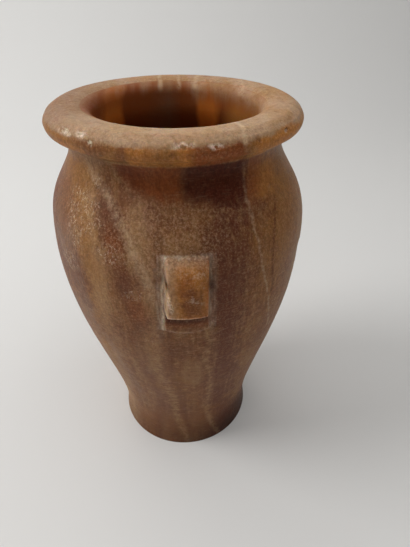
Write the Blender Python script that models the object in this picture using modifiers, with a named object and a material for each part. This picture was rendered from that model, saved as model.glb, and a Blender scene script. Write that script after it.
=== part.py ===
"""A small amphoriskos carved from one block of banded calcite, with two pierced lugs.

The frame: metres, +Z up, origin at the centre of the underside of the foot.
One lug looks along -Y and its twin along +Y.
"""

import math

import bmesh
import bpy
from mathutils import Matrix, Vector

MM = 0.001

# Overall size and the turned body
HEIGHT = 140.0 * MM
FOOT_RADIUS = 28.8 * MM
FOOT_EDGE_ROUND = 0.8 * MM
FOOT_WAIST_RADIUS = 28.0 * MM
FOOT_WAIST_HEIGHT = 10.4 * MM
BELLY_RADIUS = 43.5 * MM
BELLY_HEIGHT = 96.0 * MM
NECK_RADIUS = 33.7 * MM
NECK_BELOW_TOP = 11.0 * MM

# The broad lip, measured down from its crest
LIP_RADIUS = 39.5 * MM
LIP_WIDEST_BELOW_TOP = 3.7 * MM
LIP_EDGE_BELOW_TOP = 6.1 * MM
LIP_EDGE_ROUND = 1.5 * MM
CREST_RADIUS = 34.8 * MM
CREST_FLAT = 0.6 * MM

# The hollow: a narrow throat over a ground-out bowl
THROAT_RADIUS = 25.8 * MM
THROAT_BELOW_TOP = 5.5 * MM
THROAT_LENGTH = 2.5 * MM
BELLY_WALL = 7.0 * MM
FLOOR_THICKNESS = 15.0 * MM

# Each lug: a pierced crown that overhangs a low apron
LUG_TOP_ABOVE_BELLY = 13.5 * MM
LUG_LENGTH = 17.6 * MM
LUG_CROWN_LENGTH = 14.0 * MM
LUG_UNDERCUT_RISE = 0.7 * MM
LUG_PROJECTION = 4.7 * MM
LUG_TOP_WIDTH = 12.0 * MM
LUG_FOOT_WIDTH = 12.8 * MM
LUG_FLANK_SLOPE = 0.15
LUG_EDGE_ROUND = 0.8 * MM
LUG_ROOT_DEPTH = 3.5 * MM
APRON_LENGTH = 9.9 * MM
APRON_PROJECTION = 0.8 * MM
STRING_HOLE_RADIUS = 1.2 * MM
STRING_HOLE_BELOW_TOP = 7.0 * MM
STRING_HOLE_OUT = 2.2 * MM

# Shallow bruises on the lip: azimuth in degrees from -Y towards +X, length along the edge, depth
LIP_BRUISE_BELOW_TOP = 2.2 * MM
LIP_BRUISES = (
    (-48.0, 9.0 * MM, 0.7 * MM),
    (0.5, 5.5 * MM, 0.7 * MM),
    (12.0, 4.0 * MM, 0.5 * MM),
)
BRUISE_FLATNESS = 0.5

# A thin spall at the belly on one side
FLANK_SPALL_AZIMUTH = 68.0
FLANK_SPALL_BELOW_BELLY = 1.0 * MM
FLANK_SPALL_LENGTH = 9.0 * MM
FLANK_SPALL_DEPTH = 0.5 * MM

# How finely the curves are cut into facets
TURNS = 60
BODY_ROWS = 13
SHOULDER_ROWS = 10
LIP_ROWS = 5
ARC_ROWS = 4
BOWL_ROWS = 13
LUG_CROWN_ROWS = 7
EDGE_SEGMENTS = 2
SHARP_ANGLE = math.radians(35)
HOLE_SIDES = 16

# Powers that give each curve its fullness
BODY_EASE = 1.56
SHOULDER_EASE = 1.75
BOWL_FULLNESS = 1.8
LIP_OUTER_FULLNESS = 1.6
LIP_INNER_FULLNESS = 2.9
ROUND = 2.0

STONE_COLOUR = (0.25, 0.13, 0.066, 1.0)
STONE_ROUGHNESS = 0.42

NECK_HEIGHT = HEIGHT - NECK_BELOW_TOP
LIP_WIDEST_HEIGHT = HEIGHT - LIP_WIDEST_BELOW_TOP
LIP_EDGE_HEIGHT = HEIGHT - LIP_EDGE_BELOW_TOP
THROAT_TOP_HEIGHT = HEIGHT - THROAT_BELOW_TOP
THROAT_FOOT_HEIGHT = THROAT_TOP_HEIGHT - THROAT_LENGTH
CAVITY_RADIUS = BELLY_RADIUS - BELLY_WALL
LUG_TOP_HEIGHT = BELLY_HEIGHT + LUG_TOP_ABOVE_BELLY
LUG_LIP_HEIGHT = LUG_TOP_HEIGHT - LUG_LENGTH
APRON_FOOT_HEIGHT = LUG_LIP_HEIGHT - APRON_LENGTH
STRING_HOLE_HEIGHT = LUG_TOP_HEIGHT - STRING_HOLE_BELOW_TOP
FLANK_SPALL_HEIGHT = BELLY_HEIGHT - FLANK_SPALL_BELOW_BELLY


def steps(count):
    """Shares from just over 0 up to 1, in equal steps."""
    return [(i + 1) / count for i in range(count)]


def blend(start, end, share):
    return start + (end - start) * share


def shoulder_ease(share):
    """0 at the belly, 1 at the neck, upright at both ends and fullest low down."""
    return (1 - math.cos(math.pi * share**SHOULDER_EASE)) / 2


def body_radius(height):
    """Radius of the turned outside between the waist of the foot and the neck."""
    if height <= FOOT_WAIST_HEIGHT:
        splay = (1 - height / FOOT_WAIST_HEIGHT) ** 2
        return blend(FOOT_WAIST_RADIUS, FOOT_RADIUS, splay)
    if height <= BELLY_HEIGHT:
        share = (height - FOOT_WAIST_HEIGHT) / (BELLY_HEIGHT - FOOT_WAIST_HEIGHT)
        rise = math.sin(math.pi / 2 * share) ** BODY_EASE
        return blend(FOOT_WAIST_RADIUS, BELLY_RADIUS, rise)
    share = min(1.0, (height - BELLY_HEIGHT) / (NECK_HEIGHT - BELLY_HEIGHT))
    return blend(BELLY_RADIUS, NECK_RADIUS, shoulder_ease(share))


def quarter_curve(centre, half_width, half_height, fullness, start_deg, end_deg, rows):
    """Points of a superellipse arc round a centre, without its first point."""
    points = []
    for share in steps(rows):
        angle = math.radians(blend(start_deg, end_deg, share))
        across = math.cos(angle)
        up = math.sin(angle)
        power = 2 / fullness
        points.append(
            (
                centre[0] + half_width * math.copysign(abs(across) ** power, across),
                centre[1] + half_height * math.copysign(abs(up) ** power, up),
            )
        )
    return points


def bowl_outline():
    """The ground-out bowl, from the centre of its floor up to the belly."""
    depth = BELLY_HEIGHT - FLOOR_THICKNESS
    points = [(0.0, FLOOR_THICKNESS)]
    for share in steps(BOWL_ROWS):
        angle = math.pi / 2 * share
        height = BELLY_HEIGHT - depth * math.cos(angle)
        drop = math.cos(angle) ** BOWL_FULLNESS
        points.append((CAVITY_RADIUS * math.sqrt(max(0.0, 1 - drop)), height))
    return points


def throat_outline():
    """From the belly of the hollow up to the straight throat and over the mouth's edge."""
    points = []
    for share in steps(SHOULDER_ROWS):
        height = blend(BELLY_HEIGHT, THROAT_FOOT_HEIGHT, share)
        points.append((blend(CAVITY_RADIUS, THROAT_RADIUS, shoulder_ease(share)), height))
    points.append((THROAT_RADIUS, THROAT_TOP_HEIGHT))
    inner_crest = CREST_RADIUS - CREST_FLAT / 2
    points += quarter_curve(
        (inner_crest, THROAT_TOP_HEIGHT),
        inner_crest - THROAT_RADIUS,
        HEIGHT - THROAT_TOP_HEIGHT,
        LIP_INNER_FULLNESS,
        180,
        90,
        LIP_ROWS,
    )
    return points


def lip_outline():
    """Over the crest, round the outer edge and in under the lip to the neck."""
    outer_crest = CREST_RADIUS + CREST_FLAT / 2
    points = [(outer_crest, HEIGHT)]
    points += quarter_curve(
        (outer_crest, LIP_WIDEST_HEIGHT),
        LIP_RADIUS - outer_crest,
        HEIGHT - LIP_WIDEST_HEIGHT,
        LIP_OUTER_FULLNESS,
        90,
        0,
        LIP_ROWS,
    )
    edge_radius = LIP_RADIUS - LIP_EDGE_ROUND
    points += quarter_curve(
        (edge_radius, LIP_WIDEST_HEIGHT),
        LIP_EDGE_ROUND,
        LIP_WIDEST_HEIGHT - LIP_EDGE_HEIGHT,
        ROUND,
        0,
        -90,
        ARC_ROWS,
    )
    points += quarter_curve(
        (edge_radius, NECK_HEIGHT),
        edge_radius - NECK_RADIUS,
        LIP_EDGE_HEIGHT - NECK_HEIGHT,
        ROUND,
        90,
        180,
        ARC_ROWS,
    )
    return points


def body_outline():
    """From under the neck down over the shoulder and belly to the centre of the underside."""
    heights = [blend(NECK_HEIGHT, BELLY_HEIGHT, share) for share in steps(SHOULDER_ROWS)]
    heights += [blend(BELLY_HEIGHT, FOOT_WAIST_HEIGHT, share) for share in steps(BODY_ROWS)]
    heights += [blend(FOOT_WAIST_HEIGHT, FOOT_EDGE_ROUND, share) for share in steps(ARC_ROWS)]
    points = [(body_radius(height), height) for height in heights]
    flat_radius = FOOT_RADIUS - FOOT_EDGE_ROUND
    points += [(flat_radius, 0.0), (0.0, 0.0)]
    return points


def new_object(name, mesh, collection):
    obj = bpy.data.objects.new(name, mesh)
    collection.objects.link(obj)
    return obj


def turned_vessel(collection, material):
    """The hollow body: its outline, hollow first, swept once round +Z."""
    outline = bowl_outline() + throat_outline() + lip_outline() + body_outline()
    mesh = bpy.data.meshes.new("vessel")
    corners = [(radius, 0.0, height) for radius, height in outline]
    edges = [(i, i + 1) for i in range(len(corners) - 1)]
    mesh.from_pydata(corners, edges, [])
    mesh.materials.append(material)
    vessel = new_object("vessel", mesh, collection)
    screw = vessel.modifiers.new("turn", "SCREW")
    screw.axis = "Z"
    screw.angle = 2 * math.pi
    screw.steps = TURNS
    screw.render_steps = TURNS
    screw.use_merge_vertices = True
    screw.merge_threshold = 0.01 * MM
    screw.use_smooth_shade = True
    return vessel


def lug_projection(height):
    """How far the crown of a lug stands out from the body at this height."""
    below_top = LUG_TOP_HEIGHT - height
    share = min(1.0, max(0.0, below_top / LUG_CROWN_LENGTH))
    return LUG_PROJECTION * math.sqrt(1 - (1 - share) ** 2)


def lug_side_outline():
    """The lug seen from the side, as (reach, height), closed inside the wall."""
    lip_reach = body_radius(LUG_LIP_HEIGHT) + lug_projection(LUG_LIP_HEIGHT)
    undercut_height = LUG_LIP_HEIGHT + LUG_UNDERCUT_RISE
    undercut_reach = body_radius(undercut_height) + APRON_PROJECTION
    apron_foot_reach = body_radius(APRON_FOOT_HEIGHT) + APRON_PROJECTION
    points = [(body_radius(LUG_TOP_HEIGHT) - LUG_ROOT_DEPTH, LUG_TOP_HEIGHT)]
    points.append((body_radius(LUG_TOP_HEIGHT), LUG_TOP_HEIGHT))
    for share in steps(LUG_CROWN_ROWS):
        height = LUG_TOP_HEIGHT - LUG_CROWN_LENGTH * share**2
        points.append((body_radius(height) + lug_projection(height), height))
    points.append((lip_reach, LUG_LIP_HEIGHT))
    points.append((undercut_reach, undercut_height))
    points.append((apron_foot_reach, APRON_FOOT_HEIGHT))
    points.append((body_radius(APRON_FOOT_HEIGHT) - LUG_ROOT_DEPTH, APRON_FOOT_HEIGHT))
    return points


def lug_half_width(reach, height):
    """Half the lug's width: wider towards its foot and towards the wall."""
    share = (LUG_TOP_HEIGHT - height) / (LUG_TOP_HEIGHT - APRON_FOOT_HEIGHT)
    root = blend(LUG_TOP_WIDTH, LUG_FOOT_WIDTH, share) / 2
    standing = max(0.0, reach - body_radius(height))
    return root - LUG_FLANK_SLOPE * standing


def lug_blank(name, turned, helpers):
    """One lug as a tapered block that reaches into the wall, looking along -Y before it is turned."""
    shape = bmesh.new()
    side = [shape.verts.new((0.0, -reach, height)) for reach, height in lug_side_outline()]
    face = shape.faces.new(side)
    grown = bmesh.ops.extrude_face_region(shape, geom=[face])
    far_side = {v for v in grown["geom"] if isinstance(v, bmesh.types.BMVert)}
    for corner in shape.verts:
        half = lug_half_width(-corner.co.y, corner.co.z)
        corner.co.x = half if corner in far_side else -half
    bmesh.ops.recalc_face_normals(shape, faces=shape.faces)
    shape.transform(Matrix.Rotation(turned, 4, "Z"))
    mesh = bpy.data.meshes.new(name)
    shape.to_mesh(mesh)
    shape.free()
    blank = new_object(name, mesh, helpers)
    rounding = blank.modifiers.new("worn_edges", "BEVEL")
    rounding.width = LUG_EDGE_ROUND
    rounding.segments = EDGE_SEGMENTS
    rounding.limit_method = "ANGLE"
    rounding.angle_limit = SHARP_ANGLE
    return blank


def string_hole(name, turned, helpers):
    """A cylinder that bores one lug from flank to flank, close in against the body."""
    shape = bmesh.new()
    bmesh.ops.create_cone(
        shape,
        cap_ends=True,
        segments=HOLE_SIDES,
        radius1=STRING_HOLE_RADIUS,
        radius2=STRING_HOLE_RADIUS,
        depth=2 * LUG_FOOT_WIDTH,
    )
    out = body_radius(STRING_HOLE_HEIGHT) + STRING_HOLE_OUT
    place = Matrix.Translation(Vector((0.0, -out, STRING_HOLE_HEIGHT)))
    lay_flat = Matrix.Rotation(math.pi / 2, 4, "Y")
    shape.transform(Matrix.Rotation(turned, 4, "Z") @ place @ lay_flat)
    mesh = bpy.data.meshes.new(name)
    shape.to_mesh(mesh)
    shape.free()
    return new_object(name, mesh, helpers)


def bruise_cutter(name, azimuth_deg, reach, height, length, depth, helpers):
    """A flattened ball that takes a shallow scoop out of the surface at that place."""
    shape = bmesh.new()
    bmesh.ops.create_icosphere(shape, subdivisions=2, radius=length / 2)
    shape.transform(Matrix.Diagonal((1.0, BRUISE_FLATNESS, BRUISE_FLATNESS, 1.0)))
    out = reach - depth + BRUISE_FLATNESS * length / 2
    place = Matrix.Translation(Vector((0.0, -out, height)))
    shape.transform(Matrix.Rotation(math.radians(azimuth_deg), 4, "Z") @ place)
    mesh = bpy.data.meshes.new(name)
    shape.to_mesh(mesh)
    shape.free()
    return new_object(name, mesh, helpers)


def join_or_cut(vessel, other, operation):
    change = vessel.modifiers.new(other.name, "BOOLEAN")
    change.operation = operation
    change.solver = "EXACT"
    change.object = other


def hide_helper(obj):
    obj.hide_render = True
    obj.display_type = "WIRE"


def stone_material():
    material = bpy.data.materials.new("banded_calcite")
    material.use_nodes = True
    shader = material.node_tree.nodes["Principled BSDF"]
    shader.inputs["Base Color"].default_value = STONE_COLOUR
    shader.inputs["Roughness"].default_value = STONE_ROUGHNESS
    shader.inputs["Metallic"].default_value = 0.0
    material.diffuse_color = STONE_COLOUR
    return material


def new_collection(name):
    collection = bpy.data.collections.new(name)
    bpy.context.scene.collection.children.link(collection)
    return collection


def main():
    for obj in list(bpy.data.objects):
        bpy.data.objects.remove(obj, do_unlink=True)
    parts = new_collection("Amphoriskos")
    helpers = new_collection("Cutters")
    vessel = turned_vessel(parts, stone_material())

    for side, turned in (("front", 0.0), ("back", math.pi)):
        blank = lug_blank(f"lug_{side}", turned, helpers)
        join_or_cut(vessel, blank, "UNION")
        hide_helper(blank)
        hole = string_hole(f"string_hole_{side}", turned, helpers)
        join_or_cut(vessel, hole, "DIFFERENCE")
        hide_helper(hole)

    bruise_height = HEIGHT - LIP_BRUISE_BELOW_TOP
    for count, (azimuth, length, depth) in enumerate(LIP_BRUISES, 1):
        name = f"lip_bruise_{count}"
        bruise = bruise_cutter(name, azimuth, LIP_RADIUS, bruise_height, length, depth, helpers)
        join_or_cut(vessel, bruise, "DIFFERENCE")
        hide_helper(bruise)
    spall = bruise_cutter(
        "flank_spall",
        FLANK_SPALL_AZIMUTH,
        body_radius(FLANK_SPALL_HEIGHT),
        FLANK_SPALL_HEIGHT,
        FLANK_SPALL_LENGTH,
        FLANK_SPALL_DEPTH,
        helpers,
    )
    join_or_cut(vessel, spall, "DIFFERENCE")
    hide_helper(spall)


main()
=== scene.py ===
"""The look of a small amphoriskos carved from banded calcite, laid out as a Blender add-on."""

import math

import bpy
import numpy as np
from bpy.props import FloatProperty, FloatVectorProperty, IntProperty, PointerProperty
from mathutils import Matrix, Vector


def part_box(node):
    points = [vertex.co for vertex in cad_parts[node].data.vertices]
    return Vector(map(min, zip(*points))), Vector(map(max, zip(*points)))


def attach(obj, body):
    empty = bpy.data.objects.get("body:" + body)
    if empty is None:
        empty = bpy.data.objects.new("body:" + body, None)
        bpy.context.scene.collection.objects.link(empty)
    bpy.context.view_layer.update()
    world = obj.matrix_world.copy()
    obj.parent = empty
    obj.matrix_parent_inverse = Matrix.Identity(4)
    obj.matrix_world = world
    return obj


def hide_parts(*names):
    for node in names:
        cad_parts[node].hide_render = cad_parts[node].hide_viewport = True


bl_info = {
    "name": "Banded Calcite Amphoriskos",
    "version": (1, 0, 0),
    "blender": (4, 5, 0),
    "location": "View3D > Sidebar > Amphoriskos",
    "description": "Carves the stone vessel, gives it its banded stone and sets the studio round it",
    "category": "Object",
}

MM = 0.001
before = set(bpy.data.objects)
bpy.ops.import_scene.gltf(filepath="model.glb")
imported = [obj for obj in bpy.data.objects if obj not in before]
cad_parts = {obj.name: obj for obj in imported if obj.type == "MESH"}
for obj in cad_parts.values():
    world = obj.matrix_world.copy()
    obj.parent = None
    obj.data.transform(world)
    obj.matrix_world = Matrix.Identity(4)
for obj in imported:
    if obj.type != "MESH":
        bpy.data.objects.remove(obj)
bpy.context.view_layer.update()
_, NODE_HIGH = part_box("vessel")
HEIGHT = NODE_HIGH.z
BELLY_RADIUS = NODE_HIGH.x


# Settings that a user would change


def length(name, millimetres, description):
    default = millimetres * MM
    return FloatProperty(name=name, description=description, default=default, unit="LENGTH", precision=4)


def share(name, value, description):
    return FloatProperty(name=name, description=description, default=value, precision=3)


def colour(name, rgb, description):
    return FloatVectorProperty(
        name=name, description=description, default=rgb, size=3, subtype="COLOR", min=0, max=1
    )


class VesselForm(bpy.types.PropertyGroup):
    """Sizes of the carved vessel. Its height and its belly come from the frame."""

    foot_radius: length("Foot Radius", 28.8, "Radius of the underside")
    foot_round: length("Foot Round", 0.8, "Rounding of the foot's lower edge")
    waist_radius: length("Waist Radius", 28.0, "Narrowest radius, just over the foot")
    waist_height: length("Waist Height", 10.4, "Height of the narrowest place")
    belly_height: length("Belly Height", 96.0, "Height of the widest place")
    neck_radius: length("Neck Radius", 33.7, "Radius under the lip")
    neck_below_top: length("Neck Below Top", 11.0, "Depth of the neck under the crest of the lip")
    lip_radius: length("Lip Radius", 39.5, "Widest radius of the lip")
    lip_widest_below_top: length("Lip Widest Below Top", 3.7, "Depth of the lip's widest place")
    lip_edge_below_top: length("Lip Edge Below Top", 6.1, "Depth of the lip's lower edge")
    lip_edge_round: length("Lip Edge Round", 1.5, "Rounding of the lip's lower edge")
    crest_radius: length("Crest Radius", 34.8, "Radius of the highest ring of the lip")
    throat_radius: length("Throat Radius", 25.8, "Radius of the opening")
    throat_below_top: length("Throat Below Top", 5.5, "Depth at which the opening becomes upright")
    throat_length: length("Throat Length", 2.5, "Length of the upright stretch")
    belly_wall: length("Belly Wall", 7.0, "Thickness of the wall at the belly")
    floor_thickness: length("Floor Thickness", 15.0, "Thickness of the stone under the hollow")
    lug_top_above_belly: length("Lug Top", 13.5, "Height of a lug's top over the belly")
    lug_length: length("Lug Length", 17.6, "From a lug's top to its overhanging lip")
    lug_crown_length: length("Lug Crown", 14.0, "Length over which a lug swells out")
    lug_undercut: length("Lug Undercut", 0.7, "Rise of the undercut behind the lip")
    lug_projection: length("Lug Projection", 4.7, "How far a lug stands out")
    lug_top_width: length("Lug Top Width", 12.0, "Width at a lug's top")
    lug_foot_width: length("Lug Foot Width", 13.7, "Width at the foot of its apron")
    lug_flank_slope: share("Lug Flank Slope", 0.15, "Narrowing of a lug for each unit that it stands out")
    apron_length: length("Apron Length", 9.9, "Length of the low apron under a lug's lip")
    apron_projection: length("Apron Projection", 0.8, "How far the apron stands out")
    apron_curve: length("Apron Curve", 1.3, "How much higher the apron's foot is at its ends")
    lip_curve: length("Lug Lip Curve", 0.5, "How much higher a lug's lip is at its ends")
    lug_lean: length("Lug Lean", 0.7, "How far a lug's lip has drifted to one side of its top")
    hole_radius: length("String Hole Radius", 1.2, "Radius of the bore through a lug")
    hole_below_top: length("String Hole Depth", 7.0, "Depth of the bore's axis under a lug's top")
    hole_out: length("String Hole Offset", 2.2, "Distance of the bore's axis from the body")
    columns: IntProperty(name="Columns", description="Facets once round", default=312, min=96, max=320)


class StoneLook(bpy.types.PropertyGroup):
    """Colours of the stone, as linear values."""

    tan: colour("Tan", (0.38, 0.21, 0.095), "Pale side of the stone")
    rose: colour("Rose", (0.25, 0.112, 0.056), "Rosy bands")
    lilac: colour("Lilac", (0.24, 0.145, 0.100), "Grey purple bands")
    honey: colour("Honey", (0.31, 0.135, 0.036), "Clear bands")
    umber: colour("Umber", (0.215, 0.084, 0.029), "Common brown of the body")
    plum: colour("Plum", (0.14, 0.042, 0.018), "Purple brown bands")
    night: colour("Night", (0.085, 0.014, 0.004), "The darkest band at the neck")
    russet: colour("Russet", (0.25, 0.060, 0.012), "Dark red band at the neck")
    rust: colour("Rust", (0.27, 0.075, 0.018), "Iron stains")
    amber: colour("Amber", (0.50, 0.20, 0.045), "Thin stone where light comes through")
    glow: colour("Glow", (0.78, 0.235, 0.034), "Throat of the hollow, where light comes through the wall")
    # Painted shade: this near-black brown lies in and beside the string holes and under each lug's lip, and
    # darkens the stone towards the foot.
    painted_shade: colour("Grime", (0.030, 0.013, 0.007), "Dirt in the string holes")
    bone: colour("Bone", (0.58, 0.41, 0.26), "Pale veins")
    bruise: colour("Bruise", (0.80, 0.64, 0.48), "Crushed stone on edges and in scratches")
    # Dust and painted sheen: pale, matt skin, partly painted light on what faces up.
    dust_and_sheen: colour("Dust", (0.44, 0.28, 0.17), "Worn, matt skin on what faces up")


class StudioLook(bpy.types.PropertyGroup):
    """The floor and the lights."""

    floor: colour("Floor", (0.80, 0.79, 0.77), "Colour of the paper floor")
    window_power: share("Window Power", 3.55, "Watts of the window to the left")
    ceiling_power: share("Ceiling Power", 1.6, "Watts of the soft light overhead")
    right_power: share("Right Power", 1.1, "Watts of the soft light high on the right")
    front_power: share("Front Power", 0.85, "Watts of the soft light high in front")
    corner_power: share("Corner Power", 0.9, "Watts of the soft light behind to the left")
    room_power: share("Room Power", 0.11, "Strength of the even light all round")


# Numbers, curves and grain as whole arrays


def eased(t):
    """3t^2 - 2t^3 between 0 and 1, flat outside."""
    t = np.clip(t, 0.0, 1.0)
    return t * t * (3 - 2 * t)


def bell(distance, width):
    """exp(-(distance / width)^2): 1 at 0 and near 0 past twice the width."""
    return np.exp(-((distance / width) ** 2))


def blend(start, end, t):
    return start + (end - start) * t


def soft_min(a, b, radius):
    """The smaller of a and b, with the corner between them rounded over radius."""
    h = np.clip(0.5 + 0.5 * (b - a) / radius, 0.0, 1.0)
    return b + (a - b) * h - radius * h * (1 - h)


def grain(points, cell, seed):
    """Smooth noise from -1 to 1: seeded values on a lattice of that cell, blended with eased weights."""
    table = np.random.default_rng(seed).uniform(-1, 1, (32, 32, 32))
    place = points / np.asarray(cell)
    low = np.floor(place).astype(int)
    part = eased(place - low)
    total = 0.0
    for dx in (0, 1):
        for dy in (0, 1):
            for dz in (0, 1):
                weight = np.prod(np.abs(1 - np.array((dx, dy, dz)) - part), axis=-1)
                corner = (low + (dx, dy, dz)) % 32
                total = total + weight * table[corner[..., 0], corner[..., 1], corner[..., 2]]
    return total


# The outline of the wall


def shoulder_ease(t):
    """(1 - cos(pi t^1.75)) / 2: upright at belly and neck, fullest low down."""
    return (1 - np.cos(np.pi * np.clip(t, 0, 1) ** 1.75)) / 2


def body_radius(form, z):
    """Radius of the turned outside from the foot to the neck, as a function of height."""
    waist_z, belly_z, neck_z = form.waist_height, form.belly_height, HEIGHT - form.neck_below_top
    foot = blend(form.waist_radius, form.foot_radius, np.clip(1 - z / waist_z, 0, 1) ** 2)
    rise = np.sin(np.pi / 2 * np.clip((z - waist_z) / (belly_z - waist_z), 0, 1)) ** 1.56
    lower = blend(form.waist_radius, BELLY_RADIUS, rise)
    upper = blend(BELLY_RADIUS, form.neck_radius, shoulder_ease((z - belly_z) / (neck_z - belly_z)))
    return np.where(z < waist_z, foot, np.where(z < belly_z, lower, upper))


def arc(centre, half_width, half_height, fullness, start_deg, end_deg, rows):
    """A superellipse arc: centre + half sizes times |cos|^(2/fullness) and |sin|^(2/fullness), signs kept."""
    angle = np.radians(blend(start_deg, end_deg, np.arange(1, rows + 1) / rows))
    across = np.sign(np.cos(angle)) * np.abs(np.cos(angle)) ** (2 / fullness)
    up = np.sign(np.sin(angle)) * np.abs(np.sin(angle)) ** (2 / fullness)
    return np.stack([centre[0] + half_width * across, centre[1] + half_height * up], -1)


def wall_outline(form):
    """(radius, height) rows once round the wall's section: the bowl from its centre, the throat, over the
    lip, down the outside and in to the centre of the underside. Rows lie closest at the lip and the lugs."""
    belly_z, neck_z = form.belly_height, HEIGHT - form.neck_below_top
    cavity = BELLY_RADIUS - form.belly_wall
    throat_top = HEIGHT - form.throat_below_top
    throat_foot = throat_top - form.throat_length
    widest_z, edge_z = HEIGHT - form.lip_widest_below_top, HEIGHT - form.lip_edge_below_top

    turn = np.pi / 2 * np.linspace(0, 1, 30)
    bowl_r = cavity * np.sqrt(np.clip(1 - np.cos(turn) ** 1.8, 0, 1))
    bowl = np.stack([bowl_r, belly_z - (belly_z - form.floor_thickness) * np.cos(turn)], -1)
    climb = np.linspace(0, 1, 25)[1:]
    shoulder = np.stack(
        [blend(cavity, form.throat_radius, shoulder_ease(climb)), blend(belly_z, throat_foot, climb)], -1
    )
    throat = np.stack([np.full(4, form.throat_radius), np.linspace(throat_foot, throat_top, 5)[1:]], -1)
    inner_crest = form.crest_radius - 0.3 * MM
    over_in = arc(
        (inner_crest, throat_top), inner_crest - form.throat_radius, HEIGHT - throat_top, 2.9, 180, 90, 20
    )
    outer_crest = form.crest_radius + 0.3 * MM
    over_out = arc((outer_crest, widest_z), form.lip_radius - outer_crest, HEIGHT - widest_z, 1.6, 90, 0, 16)
    edge_r = form.lip_radius - form.lip_edge_round
    edge = arc((edge_r, widest_z), form.lip_edge_round, widest_z - edge_z, 2, 0, -90, 10)
    under = arc((edge_r, neck_z), edge_r - form.neck_radius, edge_z - neck_z, 2, 90, 180, 12)

    lug_top = belly_z + form.lug_top_above_belly
    lip_z = lug_top - form.lug_length
    apron_z = lip_z - form.apron_length
    stretches = (
        (neck_z, lug_top + 1.2 * MM, 24),
        (lug_top + 1.2 * MM, lip_z + 0.5 * MM, 42),
        (lip_z + 0.5 * MM, lip_z - 0.5 * MM, 14),
        (lip_z - 0.5 * MM, apron_z - 1.2 * MM, 24),
        (apron_z - 1.2 * MM, form.waist_height, 60),
        (form.waist_height, form.foot_round, 12),
    )
    heights = np.concatenate([np.linspace(high, low, rows + 1)[1:] for high, low, rows in stretches])
    outside = np.stack([body_radius(form, heights), heights], -1)
    flat_r = form.foot_radius - form.foot_round
    foot_edge = arc((flat_r, form.foot_round), form.foot_round, form.foot_round, 2, 0, -90, 4)
    underside = np.stack([flat_r * np.array([0.75, 0.5, 0.25, 0.0]), np.zeros(4)], -1)
    inside = [bowl, shoulder, throat, over_in]
    return np.concatenate([*inside, over_out, edge, under, outside, foot_edge, underside])


def columns_round(count):
    """Azimuths from -Y towards +X, in radians, whose spacing is finest across the lugs and finer in front."""
    fine = np.linspace(-np.pi, np.pi, 4001)
    lug = math.radians(9)
    density = 1 + 3.2 * bell(fine, lug) + 2.0 * bell(np.abs(fine) - np.pi, lug) + 0.35 * np.cos(fine)
    total = np.concatenate([[0], np.cumsum((density[1:] + density[:-1]) / 2)])
    return np.interp(np.arange(count) / count * total[-1], total, fine)


# Wear, named by where it is: azimuth in degrees, radius and height of its middle, half sizes, depth


BRUISES = (
    ("lip left", -49.5, 38.5, 138.2, 3.1, 1.2, 0.45),
    ("lip left middle", -40.0, 38.0, 138.5, 2.5, 1.1, 0.40),
    ("lip left small", -34.5, 39.0, 137.3, 0.9, 0.8, 0.30),
    ("lip front", 0.2, 38.5, 138.2, 2.8, 1.1, 0.45),
    ("lip front right", 12.0, 38.8, 137.7, 2.4, 1.0, 0.40),
    ("lip right pit", 46.0, 38.9, 137.5, 0.8, 0.7, 0.40),
    ("lip back", 152.0, 38.6, 138.1, 2.6, 1.0, 0.40),
    ("lip back side", -118.0, 38.8, 137.7, 1.8, 0.9, 0.35),
    ("shoulder pit", -39.6, 36.6, 125.5, 0.7, 0.6, 0.25),
    ("lug nick", 4.2, 47.6, 97.5, 0.7, 0.7, 0.12),
    ("lug nick high", 4.0, 46.2, 104.5, 0.8, 0.5, 0.10),
)


GROUND_FLAT_DEPTH = 0.50 * MM
KINK_HEIGHT = 98 * MM
KINK_RISE = 0.20 * MM
GROOVE_DEPTH = 0.30 * MM
OUTER_GROOVE_DEPTH = 0.12 * MM
ARRIS_BELOW_TOP = 1.55 * MM
ARRIS_RISE = 0.16 * MM
MOUTH_SHIFT = (0.65 * MM, -0.30 * MM)
LUG_CORNER = 1.6 * MM


def bruise_depths(points):
    """How deep each point is bruised: a dish round each place, deepest in its middle, ragged by grain."""
    azimuth = np.arctan2(points[..., 0], -points[..., 1])
    radius = np.hypot(points[..., 0], points[..., 1])
    depth = np.zeros(points.shape[:-1])
    mask = np.zeros(points.shape[:-1])
    rough = grain(points, 0.9 * MM, 11)
    for _, at_deg, at_radius, at_height, along, across, deep in BRUISES:
        turn = np.angle(np.exp(1j * (azimuth - math.radians(at_deg))))
        sideways = turn * at_radius / along
        section = np.hypot(radius - at_radius * MM, points[..., 2] - at_height * MM) / (across * MM)
        inside = 1 - np.hypot(sideways, section) + 0.35 * rough
        depth = np.maximum(depth, deep * MM * np.clip(inside, 0, 1) ** 0.7)
        mask = np.maximum(mask, eased(inside * 1.8))
    return depth, mask


def lug_forms(form, points):
    """For each point: how far a lug may stand there by its flanks, the distance outside its root, which way
    the nearer lug faces, and the squared share of the way from its middle to its flank."""
    azimuth = np.arctan2(points[..., 0], -points[..., 1])
    radius = np.hypot(points[..., 0], points[..., 1])
    lug_top = form.belly_height + form.lug_top_above_belly
    apron_z = lug_top - form.lug_length - form.apron_length
    down = np.clip((lug_top - points[..., 2]) / (lug_top - apron_z), 0, 1)
    half = blend(form.lug_top_width, form.lug_foot_width, down) / 2
    facing = np.where(np.abs(azimuth) < np.pi / 2, 0.0, np.pi)
    across = radius * np.sin(azimuth - facing) + form.lug_lean * (np.clip(down * 1.5, 0, 1) - 0.4)
    bend = np.clip(across / half, -1.2, 1.2) ** 2
    return (half - np.abs(across)) / form.lug_flank_slope, np.abs(across) - half, facing, bend


def lug_levels(form, bend):
    """Heights of a lug's top, its lip and its apron's foot, the last two higher towards both ends."""
    top = form.belly_height + form.lug_top_above_belly
    lip = top - form.lug_length
    return top, lip + form.lip_curve * bend, lip - form.apron_length + form.apron_curve * bend


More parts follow.
